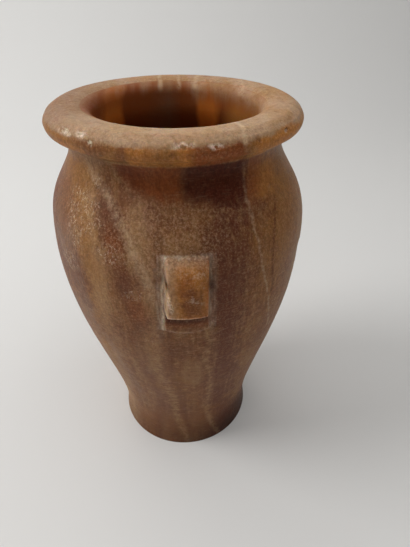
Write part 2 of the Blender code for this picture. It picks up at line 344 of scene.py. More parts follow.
def lug_section(form, rows_z, bend):
    """The lug's section for rows of body height: how far it stands out, and the height it moves the row to.
    The crown swells as a quarter ellipse, its lip turns under, and the apron lies low below it."""
    lug_top, lip_z, apron_z = lug_levels(form, 0.0)
    _, lip_here, foot_here = lug_levels(form, bend)
    swell = np.clip((lug_top - rows_z) / form.lug_crown_length, 0, 1)
    crown = form.lug_projection * np.sqrt(1 - (1 - swell) ** 2)
    edge = 0.5 * MM
    under = np.clip((lip_z + edge - rows_z) / (1.0 * MM), 0, 1)
    corner = np.clip(under / 0.3, 0, 1) * np.pi / 2
    inward = np.clip((under - 0.3) / 0.7, 0, 1)
    undercut = form.lug_projection - edge - form.apron_projection
    reach = crown - edge * (1 - np.cos(corner)) - undercut * inward
    moved = np.where(under <= 0.3, lip_z + edge * (1 - np.sin(corner)), lip_z + form.lug_undercut * inward)
    moved = np.where(under <= 0, rows_z, moved)
    low = np.clip((rows_z - apron_z) / (lip_z - edge - apron_z), 0, 1)
    moved = np.where(under >= 1, rows_z + (form.lug_undercut + edge) * low, moved)
    above = np.clip((lug_top - rows_z) / (lug_top - lip_z), 0, 1)
    moved = moved + (lip_here - lip_z) * above**2 * np.where(under >= 1, low, 1.0)
    foot = eased((rows_z - foot_here) / (0.7 * MM) + 0.5)
    reach = np.where(under >= 1, form.apron_projection, reach) * foot * (rows_z < lug_top)
    return reach, moved


def carve_points(form):
    """The vessel's skin as rows of points: the turned wall, both lugs raised on it, then the wear."""
    outline = wall_outline(form)
    azimuth = columns_round(form.columns)
    radius, height = outline[:, :1], outline[:, 1:]
    slope = np.gradient(outline, axis=0)
    slope /= np.linalg.norm(slope, axis=1)[:, None] + 1e-12
    normal = np.stack([-slope[:, 1], slope[:, 0]], -1)
    row = np.arange(len(outline))
    first_outside = row[(outline[:, 0] > form.lip_radius - 2 * MM) & (slope[:, 1] < -0.9)][0]
    outside = (row > first_outside) & (outline[:, 1] < HEIGHT - form.neck_below_top)

    around = np.stack([radius * np.sin(azimuth), -radius * np.cos(azimuth), height + 0 * azimuth], -1)
    flank, _, facing, bend = lug_forms(form, around)
    reach, moved = lug_section(form, height, bend)
    standing = np.maximum(soft_min(flank, reach, LUG_CORNER), 0) * outside[:, None]
    shift = (moved - height) * eased(flank / (1.2 * MM)) * outside[:, None]
    z = height + shift
    r = np.where(outside[:, None], body_radius(form, z), radius)
    points = np.stack([r * np.sin(azimuth), -r * np.cos(azimuth), z], -1)
    points[..., 0] += standing * np.sin(facing)
    points[..., 1] -= standing * np.cos(facing)

    mouth = bell(radius - form.throat_radius, 3.5 * MM) * (height > HEIGHT - 16 * MM)
    points[..., 0] += mouth * MOUTH_SHIFT[0]
    points[..., 1] += mouth * MOUTH_SHIFT[1]

    skin = skin_relief(form, points, outside[:, None] & (standing <= 0))
    out = np.stack(
        [normal[:, :1] * np.sin(azimuth), -normal[:, :1] * np.cos(azimuth), normal[:, 1:] + 0 * azimuth], -1
    )
    arris = bell(height - HEIGHT + ARRIS_BELOW_TOP, 0.35 * MM) * (radius > form.crest_radius)
    points += out * (skin + ARRIS_RISE * arris)[..., None]
    points[0] = points[0].mean(0)
    points[-1] = points[-1].mean(0)
    points[..., 2] = np.clip(points[..., 2], 0.0, HEIGHT)
    return points


def skin_relief(form, points, plain_body):
    """Height of the skin over the turned form: slow hand-ground waves, the scraped groove round each lug,
    the flat ground on the left, the facet on the right, fine grain, and bruises cut below it all."""
    azimuth = np.degrees(np.arctan2(points[..., 0], -points[..., 1]))
    z = points[..., 2]
    waves = 0.16 * MM * grain(points, 19 * MM, 3) + 0.07 * MM * grain(points, (7 * MM, 7 * MM, 11 * MM), 5)
    left = -GROUND_FLAT_DEPTH * bell(azimuth + 74, 20) * bell(z - 106 * MM, 9 * MM)
    over_kink = bell(z - KINK_HEIGHT, 9 * MM)
    under_kink = bell(z - KINK_HEIGHT, 1.6 * MM) - 0.5 * bell(z - KINK_HEIGHT + 3.5 * MM, 4 * MM)
    right = KINK_RISE * bell(azimuth - 68, 14) * np.where(z > KINK_HEIGHT, over_kink, under_kink)
    _, beside, _, bend = lug_forms(form, points)
    lug_top, _, foot_z = lug_levels(form, bend)
    level = eased((z - foot_z + 1 * MM) / (2 * MM)) * eased((lug_top + 1.5 * MM - z) / (2 * MM))
    scraped = 0.8 + 0.4 * grain(points, (1 * MM, 1 * MM, 5 * MM), 7)
    groove = -GROOVE_DEPTH * bell(beside - 0.7 * MM, 0.8 * MM) * level * scraped
    groove = groove - OUTER_GROOVE_DEPTH * bell(beside - 1.9 * MM, 0.4 * MM) * level * scraped
    fine = 0.03 * MM * grain(points, 1.6 * MM, 9)
    depth, _ = bruise_depths(points)
    clear_of_foot = eased((z - 0.2 * MM) / (3 * MM))
    waves = waves * clear_of_foot * eased((HEIGHT - z) / (2 * MM) + 0.25)
    return waves + (left + right + groove) * plain_body + fine * clear_of_foot - depth


# Meshes


def skin_mesh(name, points):
    """Quads between neighbouring rows and columns, faces outwards, with one point at each end of the rows."""
    rows, columns = points.shape[:2]
    inner = np.arange(1, rows - 1)
    index = 1 + (inner[:, None] - 1) * columns + np.arange(columns)
    beside = np.roll(index, -1, axis=1)
    quads = np.stack([index[:-1], index[1:], beside[1:], beside[:-1]], -1).reshape(-1, 4)
    last = 1 + (rows - 2) * columns
    start = np.stack([np.zeros(columns, int), index[0], beside[0]], -1)
    end = np.stack([index[-1], np.full(columns, last), beside[-1]], -1)
    corners = np.concatenate([points[:1, 0], points[1:-1].reshape(-1, 3), points[-1:, 0]])
    mesh = bpy.data.meshes.new(name)
    mesh.from_pydata(corners.tolist(), [], quads.tolist() + start.tolist() + end.tolist())
    mesh.update()
    return mesh


def bore_mesh(form, facing):
    """A closed cylinder along X through a lug: circle points (cos, sin) at both ends, fanned at the caps."""
    lug_top = form.belly_height + form.lug_top_above_belly
    z = lug_top - form.hole_below_top
    y = -math.cos(facing) * (float(body_radius(form, np.float64(z))) + form.hole_out)
    angle = np.linspace(0, 2 * np.pi, 33)[:-1]
    round_y, round_z = form.hole_radius * np.cos(angle), form.hole_radius * np.sin(angle)
    ring = np.stack([0 * angle, y + round_y, z + round_z], -1)
    reach = np.array([form.lug_foot_width, 0, 0])
    count = len(angle)
    index = np.arange(count)
    beside = np.roll(index, -1)
    sides = np.stack([index, beside, beside + count, index + count], -1).tolist()
    mesh = bpy.data.meshes.new("string_bore")
    caps = [index[::-1].tolist(), (index + count).tolist()]
    mesh.from_pydata(np.concatenate([ring - reach, ring + reach]).tolist(), [], sides + caps)
    mesh.update()
    return mesh


def bore_lugs(form, vessel):
    """Cuts both string holes, then keeps the cut mesh in place of the modifiers."""
    cutters = []
    for facing in (0.0, math.pi):
        cutter = bpy.data.objects.new("string_bore", bore_mesh(form, facing))
        bpy.context.scene.collection.objects.link(cutter)
        cutters.append(cutter)
        cut = vessel.modifiers.new("string_hole", "BOOLEAN")
        cut.operation = "DIFFERENCE"
        cut.solver = "EXACT"
        cut.object = cutter
    bpy.context.view_layer.update()
    evaluated = vessel.evaluated_get(bpy.context.evaluated_depsgraph_get())
    mesh = bpy.data.meshes.new_from_object(evaluated)
    vessel.modifiers.clear()
    vessel.data = mesh
    for cutter in cutters:
        bpy.data.objects.remove(cutter, do_unlink=True)


MARKS = ("bruised", "lug", "border", "recess", "painted_shade", "hollow")


def note_wear(form, mesh):
    """Keeps, at each vertex, what the stone's colours follow: bruises, lugs and the scraped skin round them
    with painted highlights on their edges, painted shade under each lug's lip and in and beside the string
    holes, and the hollow. Each is a product of bells and eased steps of the distance from the thing that it
    follows."""
    points = np.empty(len(mesh.vertices) * 3, np.float32)
    mesh.vertices.foreach_get("co", points)
    points = points.reshape(-1, 3).astype(float)
    radius = np.hypot(points[:, 0], points[:, 1])
    z = points[:, 2]
    _, bruised = bruise_depths(points)
    _, beside, _, bend = lug_forms(form, points)
    lug_top, lip_z, foot_z = lug_levels(form, bend)
    standing = radius - body_radius(form, z)
    within = eased((0.4 * MM - beside) / (0.8 * MM))
    level = eased((z - foot_z + 1 * MM) / (1 * MM)) * eased((lug_top + 1 * MM - z) / (1 * MM))
    lug = eased((standing - 0.9 * MM) / (1.2 * MM)) * level
    inner = np.where(z > HEIGHT - 9 * MM, form.throat_radius + 2.5 * MM, body_radius(form, z) - 3 * MM)
    hollow = ((radius < inner) & (z > form.floor_thickness - 1 * MM)).astype(float)
    shell = 1 - hollow
    around = bell(beside - 0.5 * MM, 0.6 * MM) * level * (standing < 1.6 * MM)
    beyond = bell(beside - 1.8 * MM, 0.30 * MM) * level
    over = bell(z - lug_top - 0.1 * MM, 0.45 * MM) * (beside < 0.6 * MM)
    # Painted highlights: pale lines on the lug's front arris, along the edge of its lip and on the apron's
    # foot.
    arris = bell(beside + form.lug_flank_slope * form.lug_projection, 0.4 * MM) * lug
    lip_highlight = bell(z - lip_z - 0.3 * MM, 0.35 * MM) * lug * (beside < 0)
    apron_foot_highlight = bell(z - foot_z - 0.6 * MM, 0.60 * MM) * within
    border = 0.9 * around + 0.45 * beyond + 0.6 * over + 0.25 * arris + 0.8 * lip_highlight + 0.25 * apron_foot_highlight
    # Painted shade under each lug's lip, fading towards the apron's foot.
    recess = within * eased((lip_z + 0.9 * MM - z) / (0.8 * MM)) * eased((z - foot_z - 0.6 * MM) / (5 * MM))
    recess = recess * (standing < form.lug_projection - 0.6 * MM) * shell
    bore_z = lug_top - form.hole_below_top
    bore_y = body_radius(form, bore_z) + form.hole_out
    # Painted shade round each string hole, and a painted shadow on the body beside the lug's right flank.
    off_axis = np.hypot(0.5 * (np.abs(points[:, 1]) - bore_y), z - bore_z - 0.5 * MM)
    painted_shade = bell(off_axis, 1.6 * MM) * bell(beside + 0.15 * MM, 0.75 * MM)
    shade_beside_hole = bell(beside - 0.7 * MM, 0.8 * MM) * bell(z - bore_z + 2.6 * MM, 1.9 * MM) * (points[:, 0] > 0)
    painted_shade = np.maximum(painted_shade, 0.75 * shade_beside_hole) * shell
    # Painted light: the pale edging is stronger on the left, the lit side.
    lit_left_weight = 0.70 - 0.30 * np.clip(points[:, 0] / (3 * MM), -1, 1)
    border = np.clip(border, 0, 1) * shell * (1 - painted_shade) * lit_left_weight
    marks = (bruised, lug, border, recess, painted_shade, hollow)
    for name, values in zip(MARKS, marks):
        layer = mesh.attributes.new(name, "FLOAT", "POINT")
        layer.data.foreach_set("value", values.astype(np.float32))


# Shader nodes, one short call each


# The vessel's height, and half of what the colours across it cover, both in mm
TALL = HEIGHT / MM
SPREAD = 44.0


def share_of(millimetres):
    """Share of the way from -SPREAD to SPREAD."""
    return (millimetres + SPREAD) / (2 * SPREAD)


class Recipe:
    """Adds shader nodes to one material and joins them. A term is a socket, a number or a colour's name."""

    def __init__(self, material, look):
        self.look = look
        self.tree = material.node_tree
        self.shader = self.tree.nodes["Principled BSDF"]

    def give(self, socket, term):
        if isinstance(term, bpy.types.NodeSocket):
            self.tree.links.new(term, socket)
        elif isinstance(term, str):
            socket.default_value = (*getattr(self.look, term), 1.0)
        else:
            socket.default_value = term

    def node(self, kind, **settings):
        node = self.tree.nodes.new("ShaderNode" + kind)
        for name, value in settings.items():
            setattr(node, name, value)
        return node

    def math(self, operation, *terms):
        node = self.node("Math", operation=operation)
        for socket, term in zip(node.inputs, terms):
            self.give(socket, term)
        return node.outputs[0]

    def times(self, *terms):
        total = terms[0]
        for term in terms[1:]:
            total = self.math("MULTIPLY", total, term)
        return total

    def plus(self, *terms):
        total = terms[0]
        for term in terms[1:]:
            total = self.math("ADD", total, term)
        return total

    def less(self, value, taken):
        return self.math("SUBTRACT", value, taken)

    def gap(self, value, other):
        """|value - other|"""
        return self.math("ABSOLUTE", self.less(value, other))

    def swing(self, grain, amount):
        """(grain - 0.5) * amount: a grain from 0 to 1 as a shift to both sides."""
        return self.times(self.less(grain, 0.5), amount)

    def place(self, source, scale=(1, 1, 1), turn=(0, 0, 0), move=(0, 0, 0)):
        node = self.node("Mapping")
        self.give(node.inputs["Vector"], source)
        node.inputs["Scale"].default_value = scale
        node.inputs["Rotation"].default_value = [math.radians(angle) for angle in turn]
        node.inputs["Location"].default_value = move
        return node.outputs[0]

    def noise(self, source, scale, detail=2.0, roughness=0.5, distortion=0.0):
        node = self.node("TexNoise")
        self.give(node.inputs["Vector"], source)
        node.inputs["Scale"].default_value = scale
        node.inputs["Detail"].default_value = detail
        node.inputs["Roughness"].default_value = roughness
        node.inputs["Distortion"].default_value = distortion
        return node.outputs["Fac"]

    def span(self, value, low, high, to_low=0.0, to_high=1.0):
        """value eased from low..high to to_low..to_high, flat outside."""
        node = self.node("MapRange", interpolation_type="SMOOTHSTEP")
        self.give(node.inputs["Value"], value)
        for name, term in (("From Min", low), ("From Max", high), ("To Min", to_low), ("To Max", to_high)):
            node.inputs[name].default_value = term
        return node.outputs["Result"]

    def mix(self, factor, under, over, mode="MIX"):
        node = self.node("Mix", data_type="RGBA", blend_type=mode)
        self.give(node.inputs[0], factor)
        self.give(node.inputs[6], under)
        self.give(node.inputs[7], over)
        return node.outputs[2]

    def toned(self, stone, *tones):
        """Lays colours on in turn as values run from low to high: (value, low, high, strength, colour)."""
        for value, low, high, strength, tint in tones:
            stone = self.mix(self.span(value, low, high, 0.0, strength), stone, tint)
        return stone

    def attribute(self, name):
        return self.node("Attribute", attribute_name=name).outputs["Fac"]

    def bands(self, across_share, sheets):
        """Colours blended across the sheets, through (place in mm, colour's name) stops."""
        node = self.node("ValToRGB")
        self.give(node.inputs[0], across_share)
        bar = node.color_ramp
        bar.elements.remove(bar.elements[1])
        bar.elements[0].position = share_of(sheets[0][0])
        for place, _ in sheets[1:]:
            bar.elements.new(share_of(place))
        for stop, (_, tint) in zip(bar.elements, sheets):
            stop.color = (*getattr(self.look, tint), 1)
        return node.outputs[0]

    def patch(self, here, middle, half_size, ragged):
        """1 inside an upright ellipse in the X-Z plane, fading to 0 across its ragged edge."""
        scale = (1 / half_size[0], 0, 1 / half_size[1])
        move = (-middle[0] / half_size[0], 0, -middle[1] / half_size[1])
        node = self.node("VectorMath", operation="LENGTH")
        self.give(node.inputs[0], self.place(here, scale=scale, move=move))
        return self.span(self.plus(node.outputs["Value"], self.swing(ragged, 1.7)), 1.25, 0.45)

    def course(self, share, stops):
        """A smooth line through (share, place in mm) stops, as the place for each share of its length."""
        node = self.node("FloatCurve")
        self.give(node.inputs["Value"], share)
        curve = node.mapping.curves[0]
        points = [(at_share, share_of(place)) for at_share, place in sorted(stops)]
        curve.points[0].location = points[0]
        curve.points[1].location = points[-1]
        for point in points[1:-1]:
            curve.points.new(*point)
        node.mapping.update()
        return self.swing(node.outputs[0], 2 * SPREAD)


# Colours across the sheets, each at its place across in mm: on the body, on the lip's face and in the hollow


BODY_SHEETS = (
    (-44, "plum"), (-37, "plum"), (-33, "rose"), (-28, "honey"), (-24, "tan"), (-20, "umber"),
    (-16, "umber"), (-12, "rose"), (-8, "rose"), (-4, "umber"), (4, "umber"), (10, "plum"),
    (18, "plum"), (21, "umber"), (27, "umber"), (34, "rose"), (44, "tan"),
)
LIP_SHEETS = (
    (-44, "tan"), (-34, "honey"), (-27, "honey"), (-22, "umber"), (-16, "honey"), (-13, "umber"),
    (-11.5, "amber"), (-2, "honey"), (2, "amber"), (4.5, "rust"), (16.0, "rust"), (18.5, "honey"),
    (21, "amber"), (34, "amber"), (44, "tan"),
)
HOLLOW_SHEETS = (
    (-44, "russet"), (-25, "russet"), (-23.5, "rust"), (-22, "glow"), (-18.5, "glow"), (-17, "russet"),
    (-10, "rust"), (-3, "rose"), (3, "rust"), (9.0, "rust"), (10.5, "glow"), (14.5, "glow"),
    (16.5, "rust"), (20, "amber"), (26, "honey"), (44, "tan"),
)

# Veins: name, colour, strength, half width, heights between which it shows, then its course as (height, place
# across), all in mm


VEINS = (
    ("right seam", "bone", 0.40, 0.4, (70, 129),
     ((140, 17), (128, 17.6), (121, 18.7), (114, 20.9), (108.6, 22.5), (102.6, 23.9), (90, 27),
      (76, 29.5), (60, 31), (0, 33))),
    ("seam beside the lug", "tan", 0.72, 1.2, (0, 84),
     ((140, 8), (85, 7.6), (74, 7.6), (66, 7.2), (50, 9.2), (40, 9), (28, 8), (14, 10), (0, 14))),
    ("left seam", "tan", 0.76, 1.5, (0, 84),
     ((140, -4), (100, -10.5), (78, -8.8), (60, -8.6), (48, -7.3), (40, -5.5), (20, -4.0), (0, 0.5))),
    ("pale diagonal", "bone", 0.48, 1.6, (92, 128),
     ((140, -28), (128, -24), (122, -19), (112, -13.5), (104, -10), (96, -8), (0, -8))),
    ("upper middle line", "tan", 0.40, 0.5, (104, 121),
     ((140, 3), (121, 3.2), (113, 4.8), (104, 5.5), (0, 5.5))),
    ("shoulder hair line", "tan", 0.35, 0.4, (104, 122),
     ((140, 9), (122, 9.5), (118, 11), (112, 15), (75, 15), (0, 16))),
    ("purple line", "lilac", 0.55, 1.8, (24, 112),
     ((140, -30), (107, -31.5), (86, -31), (60, -23), (45, -20), (27, -17.4), (0, -17))),
    ("olive line", "tan", 0.35, 1.6, (0, 98),
     ((140, -24), (100, -25.5), (86, -25), (60, -17), (30, -12), (0, -10))),
    ("foot line", "tan", 0.30, 0.5, (0, 26),
     ((140, -1), (24, -5.2), (14, -3.6), (5, -1.2), (0, 0))),
    ("pale strip by the lug", "lilac", 0.65, 1.0, (78, 108),
     ((140, -7), (108, -6.6), (92, -6.6), (80, -7.2), (60, -6.5), (0, -3))),
    ("pale strip right of it", "lilac", 0.50, 0.8, (78, 106),
     ((140, 9), (108, 9.0), (92, 9.2), (84, 9.3), (60, 10.5), (0, 16))),
    ("dark line left", "plum", 0.65, 1.9, (0, 112),
     ((140, -15), (100, -17), (80, -14.5), (60, -13.5), (30, -11), (0, -13))),
    ("dark line middle", "plum", 0.60, 1.2, (0, 82),
     ((140, 1), (84, -4), (60, -4.2), (45, -2.5), (25, -1), (12, 0.5), (0, 1.5))),
    ("dark line right", "plum", 0.45, 1.8, (0, 106),
     ((140, 16), (100, 13), (60, 13.5), (30, 13), (12, 16), (0, 18.5))),
    ("dark thread", "night", 0.75, 0.5, (88, 118),
     ((140, 27), (116, 27.6), (103, 27.4), (90, 29.0), (0, 30))),
)

# Stains on the front: name, colour, strength, middle and half size across and up in mm


STAINS = (
    ("gold at the neck", "honey", 0.70, (-27, 125), (6, 6)),
    ("dark on the shoulder", "plum", 0.75, (-19.5, 116), (4.2, 9)),
    ("rust on the shoulder", "rust", 0.60, (-18.0, 110), (3.0, 5)),
    ("brown below it", "plum", 0.60, (-16.0, 99), (4.0, 6)),
    ("rust by the lug", "rust", 0.50, (-13.5, 90), (3.6, 6)),
    ("olive left", "honey", 0.55, (-25.5, 99.6), (3.2, 9)),
    ("grey left", "lilac", 0.60, (-34.5, 106), (4.0, 14)),
    ("rose left", "rose", 0.45, (-31, 113), (4, 9)),
    ("brown far left", "umber", 0.45, (-33.5, 114), (4, 8)),
    ("olive foot", "umber", 0.75, (-2, 12), (22, 14)),
    ("grey low left", "lilac", 0.45, (-31, 86), (3.5, 9)),
    ("ochre left", "tan", 0.50, (-25.0, 86), (3.0, 12)),
    ("honey right", "honey", 0.60, (31, 112), (7, 14)),
    ("gold neck right", "amber", 0.60, (24.5, 125), (5, 6)),
    ("olive right", "honey", 0.40, (26, 98), (4, 12)),
    ("purple right", "plum", 0.60, (13, 99), (6, 22)),
    ("purple below the lug", "plum", 0.45, (-1.5, 72), (4, 7)),
    ("tan below the lug", "tan", 0.30, (2.5, 56), (4, 12)),
    ("beige over the lug", "tan", 0.35, (-5, 110), (10, 7)),
    ("beige left of the lug", "tan", 0.65, (-11.5, 113), (3.2, 10)),
    ("dark streak over the lug", "plum", 0.40, (-6.0, 113), (1.4, 7)),
    ("dark over the lug right", "plum", 0.45, (8.5, 112), (4.5, 7)),
    ("beige by the lug", "tan", 0.40, (-9, 95), (2.6, 12)),
    ("dark foot", "night", 0.75, (22, 5), (12, 14)),
    ("plum left", "plum", 0.65, (-31.5, 95), (4.5, 12)),
    ("brown low left", "plum", 0.40, (-24, 76), (5, 12)),
    ("brown lower left", "umber", 0.50, (-27, 45), (6, 18)),
    ("tan low", "tan", 0.45, (-13, 69), (3.6, 14)),
    ("honey at the neck end", "honey", 0.85, (32.5, 125), (5, 7)),
    ("brown foot", "umber", 0.50, (-14, 4), (14, 6)),
)

# Stains on the edge of the lip, given in the same way


LIP_STAINS = (
    ("orange patch", "amber", 0.60, (28.5, 137.2), (3.5, 1.3)),
    ("dark pit", "night", 0.85, (28.9, 137.6), (0.55, 0.45)),
    ("olive end", "umber", 0.50, (-21, 136.6), (6, 1.4)),
    ("orange low left", "amber", 0.50, (-27, 135.0), (5, 1.0)),
)

# Clusters of pale scratches on the front: middle and half size across and up in mm


SCRATCHED = (
    ((-26, 117.5), (5, 6)),
    ((-19.4, 108.5), (4.5, 3.2)),
    ((-13.8, 96), (3.2, 2.4)),
    ((-34, 100), (3, 4)),
    ((-30, 112), (3, 7)),
    ((-22, 125.5), (2, 1.8)),
)

# Pale chips on the lug: middle and half size across and up in mm, strength


LUG_MARKS = (
    ((4.4, 105.8), (1.7, 1.1), 0.30),
    ((2.7, 98.8), (0.6, 1.3), 0.42),
    ((4.0, 98.0), (0.6, 0.5), 0.40),
    ((-3.6, 98.6), (0.6, 2.2), 0.85),
    ((-3.1, 96.2), (0.7, 1.8), 0.80),
)

# Pale marks across the top of the lip: (depth, place across) from front to back in mm, half width, strength


RIM_VEINS = (
    (((-39, 16.8), (-34, 16.7), (-29.5, 16.4), (-27, 15.6), (-24, 13.6)), 0.60, 0.85),
    (((8, -4.4), (21, -4.9), (39, -5.4)), 0.8, 0.55),
    (((12, 1.8), (22, 1.7), (39, 1.6)), 0.6, 0.35),
    (((14, 6.3), (24, 7.4), (39, 9.8)), 0.8, 0.60),
    (((-9, 19.8), (6, 21.8), (24, 23.6)), 1.0, 0.50),
)

# Lower edge of the dark band at the neck: (place across, rise over its base) in mm


NECK_BASE = 120.3
NECK_LINE = ((-44, 30), (-18.6, 25), (-17, 10), (-11.3, 5.0), (5.5, 1.4), (18, 0.0), (44, 0))

# Height at which the lip's face meets the neck, in mm
LIP_FOOT = 131.2


# The stone, layer by layer


class Stone(Recipe):
    """The stone's recipe, with what every layer reads: the place in mm with X across the sheets, the marks
    kept at the vertices, noise from slow to fine, and the place across the sheets once they wander."""

    def __init__(self, material, look):
        super().__init__(material, look)
        whole = self.node("TexCoord").outputs["Object"]
        self.here = here = self.place(whole, scale=(1000, 1000, 1000), turn=(0, 0, 2))
        parts = self.node("SeparateXYZ")
        self.give(parts.inputs[0], here)
        self.x, self.y, self.z = parts.outputs
        self.bruised, self.lug, self.border, self.recess, self.painted_shade, self.hollow = map(self.attribute, MARKS)
        self.shell = self.less(1.0, self.hollow)
        self.front = self.times(self.span(self.y, 6, -4), self.shell)

        self.quick = self.noise(self.place(here, scale=(1, 1, 0.35)), 0.16, detail=3)
        self.ragged = self.noise(here, 0.30, detail=5, roughness=0.65)
        self.speck = self.noise(here, 1.5, detail=5, roughness=0.75)
        self.cloud = self.noise(here, 0.085, detail=5, roughness=0.62, distortion=0.5)
        self.mottle = self.noise(here, 0.55, detail=6, roughness=0.72)
        self.strands = self.place(here, scale=(1, 0.12, 0.06))
        self.fine = self.noise(self.strands, 0.75, detail=5, roughness=0.68, distortion=0.3)
        streaks = self.place(here, scale=(1.0, 1.0, 0.30), turn=(0, 35, 0))
        self.scratch = self.noise(streaks, 1.1, detail=5, roughness=0.75, distortion=0.8)
        self.turning = self.noise(self.place(here, scale=(0.35, 0.35, 2.2)), 1.0, detail=4, roughness=0.6)

        slow = self.noise(here, 0.035, detail=1.5)
        sway = self.swing(slow, self.plus(1.5, self.times(self.span(self.y, -12, 25), 16.0)))
        self.ripple = self.swing(self.quick, 2.4)
        self.across = self.plus(self.x, sway, self.ripple)
        self.wobbly = self.plus(self.across, self.swing(self.ragged, 2.2))
        self.across_share = self.math("DIVIDE", self.plus(self.across, SPREAD), 2 * SPREAD)
        self.height_share = self.math("DIVIDE", self.z, TALL)
        self.depth_share = self.math("DIVIDE", self.plus(self.y, SPREAD), 2 * SPREAD)

    def coat(self, tint, *shares):
        """Lays a colour over the stone as far as the product of the shares."""
        self.colour = self.mix(self.times(*shares), self.colour, tint)

    def stain(self, stains):
        for _, tint, strength, middle, half_size in stains:
            self.coat(tint, self.patch(self.here, middle, half_size, self.ragged), self.front, strength)


def lay_body(s):
    """Colours in upright sheets across X, streaked along their length, clouded and mottled, then stained and
    veined."""
    s.colour = s.toned(
        s.bands(s.across_share, BODY_SHEETS),
        (s.fine, 0.45, 0.72, 0.38, "tan"),
        (s.fine, 0.50, 0.28, 0.42, "plum"),
        (s.cloud, 0.50, 0.68, 0.45, "honey"),
        (s.cloud, 0.48, 0.34, 0.40, "plum"),
        (s.mottle, 0.50, 0.66, 0.55, "tan"),
        (s.mottle, 0.48, 0.32, 0.60, "plum"),
    )
    s.stain(STAINS)
    for _, tint, strength, half_width, (low, high), stops in VEINS:
        middle = s.course(s.height_share, [(height / TALL, place) for height, place in stops])
        vein = s.span(s.gap(s.wobbly, middle), half_width * 1.8, half_width * 0.1)
        uneven = s.times(s.span(s.mottle, 0.40, 0.60, 0.20, 1.0), s.span(s.y, 0, 20, 1.0, 0.35))
        shown = s.times(s.span(s.z, low - 3, low + 2), s.span(s.z, high + 3, high - 2))
        s.coat(tint, vein, uneven, shown, strength)


def lay_neck(s):
    """The band under the lip: dark on the right as far as the seam, ruddy on the left, rust beyond. Its lower
    edge follows a line and frays."""
    line = s.course(s.across_share, [(share_of(place), rise) for place, rise in NECK_LINE])
    frayed = s.plus(s.swing(s.quick, 4.0), s.swing(s.mottle, 4.0))
    s.over_line = s.less(s.z, s.plus(line, NECK_BASE, frayed))
    below_lip = s.times(s.span(s.z, LIP_FOOT + 0.6, LIP_FOOT - 0.4), s.shell, s.span(s.y, 14, 4))
    s.neck = s.times(s.span(s.over_line, -2.4, 2.2), below_lip)
    edge_right = s.span(s.across, 18.3, 17.3)
    dark = s.times(s.neck, edge_right, s.span(s.across, -0.5, 3.2))
    ruddy = s.times(s.neck, s.span(s.across, -18.5, -14.0), s.span(s.across, 3.2, -0.5))
    s.coat("russet", ruddy, s.span(s.across, -6, -14, 0.80, 0.92))
    s.coat("night", ruddy, s.span(s.across, -8, -13), 0.38)
    s.coat("rust", ruddy, s.patch(s.here, (-2.5, 127), (4.2, 4.5), s.quick), 0.60)
    s.coat("night", dark, 0.90)
    s.coat("rust", s.neck, s.span(s.across, 18.6, 19.2), s.span(s.across, 24.0, 20.5), 0.6)
    rim_of_dark = s.times(s.span(s.gap(s.over_line, -1.3), 0.8, 0.1), below_lip, edge_right)
    s.coat("tan", rim_of_dark, s.span(s.across, -2, 4), s.span(s.speck, 0.35, 0.6), 0.3)


def lay_lip_face(s):
    """The clearer, more orange bands of the lip's face, with a pale line where it meets the neck."""
    lip_stone = s.toned(
        s.bands(s.across_share, LIP_SHEETS),
        (s.mottle, 0.50, 0.32, 0.7, "umber"),
        (s.ragged, 0.52, 0.68, 0.5, "tan"),
    )
    s.coat(lip_stone, s.span(s.z, LIP_FOOT - 0.4, LIP_FOOT + 0.4), s.shell, 0.88)
    s.coat("tan", s.span(s.gap(s.z, LIP_FOOT), 0.50, 0.1), s.shell, s.span(s.ragged, 0.35, 0.6), 0.5)


def lay_hollow(s):
    """The wall inside: bright where light comes through clear sheets near the mouth, dull deeper down. The
    pale top of the lip combs down into it, less so in the middle, as painted light where light falls inside."""
    middle_wall = s.times(s.span(s.x, -19, -15), s.span(s.x, 8, 3))
    s.coat(s.bands(s.across_share, HOLLOW_SHEETS), s.hollow, 0.94)
    s.coat("russet", s.hollow, s.span(s.z, 114, 84), 0.88)
    s.coat("rust", s.hollow, s.span(s.z, 127, 136), s.span(middle_wall, 0, 1, 0.70, 0.25))
    combed = s.plus(s.z, s.swing(s.noise(s.strands, 0.45, detail=2), 8.0))
    combed = s.plus(combed, s.span(s.x, -10, -24, 0.0, -5.0), s.times(middle_wall, -4.0))
    # Painted light: the pale colour of the lip's top runs down the inner wall.
    lit_throat = s.times(s.hollow, s.span(combed, 131.5, 139.0), 0.85)
    top_edge = s.plus(s.z, s.swing(s.mottle, 1.2), s.swing(s.ragged, 1.6))
    s.rim_top = s.math("MAXIMUM", s.times(s.shell, s.span(top_edge, 137.1, 138.4)), lit_throat)


def lay_lip_top(s):
    """The pale, matt top of the lip, with painted shade to the left, painted light to the front, its stains
    and the pale marks that cross it.
    """
    rim_stone = s.toned(
        s.mix(s.span(s.cloud, 0.40, 0.60), "dust_and_sheen", "tan"),
        (s.fine, 0.45, 0.75, 0.25, "bone"),
        (s.ragged, 0.50, 0.30, 0.45, "rose"),
        # Painted shade towards the left and painted light towards the front of the lip's top.
        (s.x, -12, -36, 0.50, "lilac"),
        (s.x, -22, -40, 0.22, "plum"),
        (s.y, -10, -34, 0.40, "bone"),
        (s.mottle, 0.50, 0.34, 0.32, "umber"),
        (s.mottle, 0.54, 0.68, 0.25, "bone"),
    )
    s.coat(rim_stone, s.rim_top, s.span(s.speck, 0.30, 0.60, 0.80, 0.98))
    s.stain(LIP_STAINS)
    for stops, width, strength in RIM_VEINS:
        front, back = stops[0][0], stops[-1][0]
        middle = s.course(s.depth_share, [(share_of(depth), place) for depth, place in stops])
        away = s.gap(s.plus(s.x, s.times(s.ripple, 0.5)), middle)
        reach = s.times(s.span(s.y, front - 1.5, front), s.span(s.y, back + 1.5, back))
        shown = s.times(reach, s.span(s.z, 136.0, 138.0), s.span(s.mottle, 0.34, 0.52))
        s.coat("bone", s.span(away, width * 1.6, width * 0.3), shown, strength)


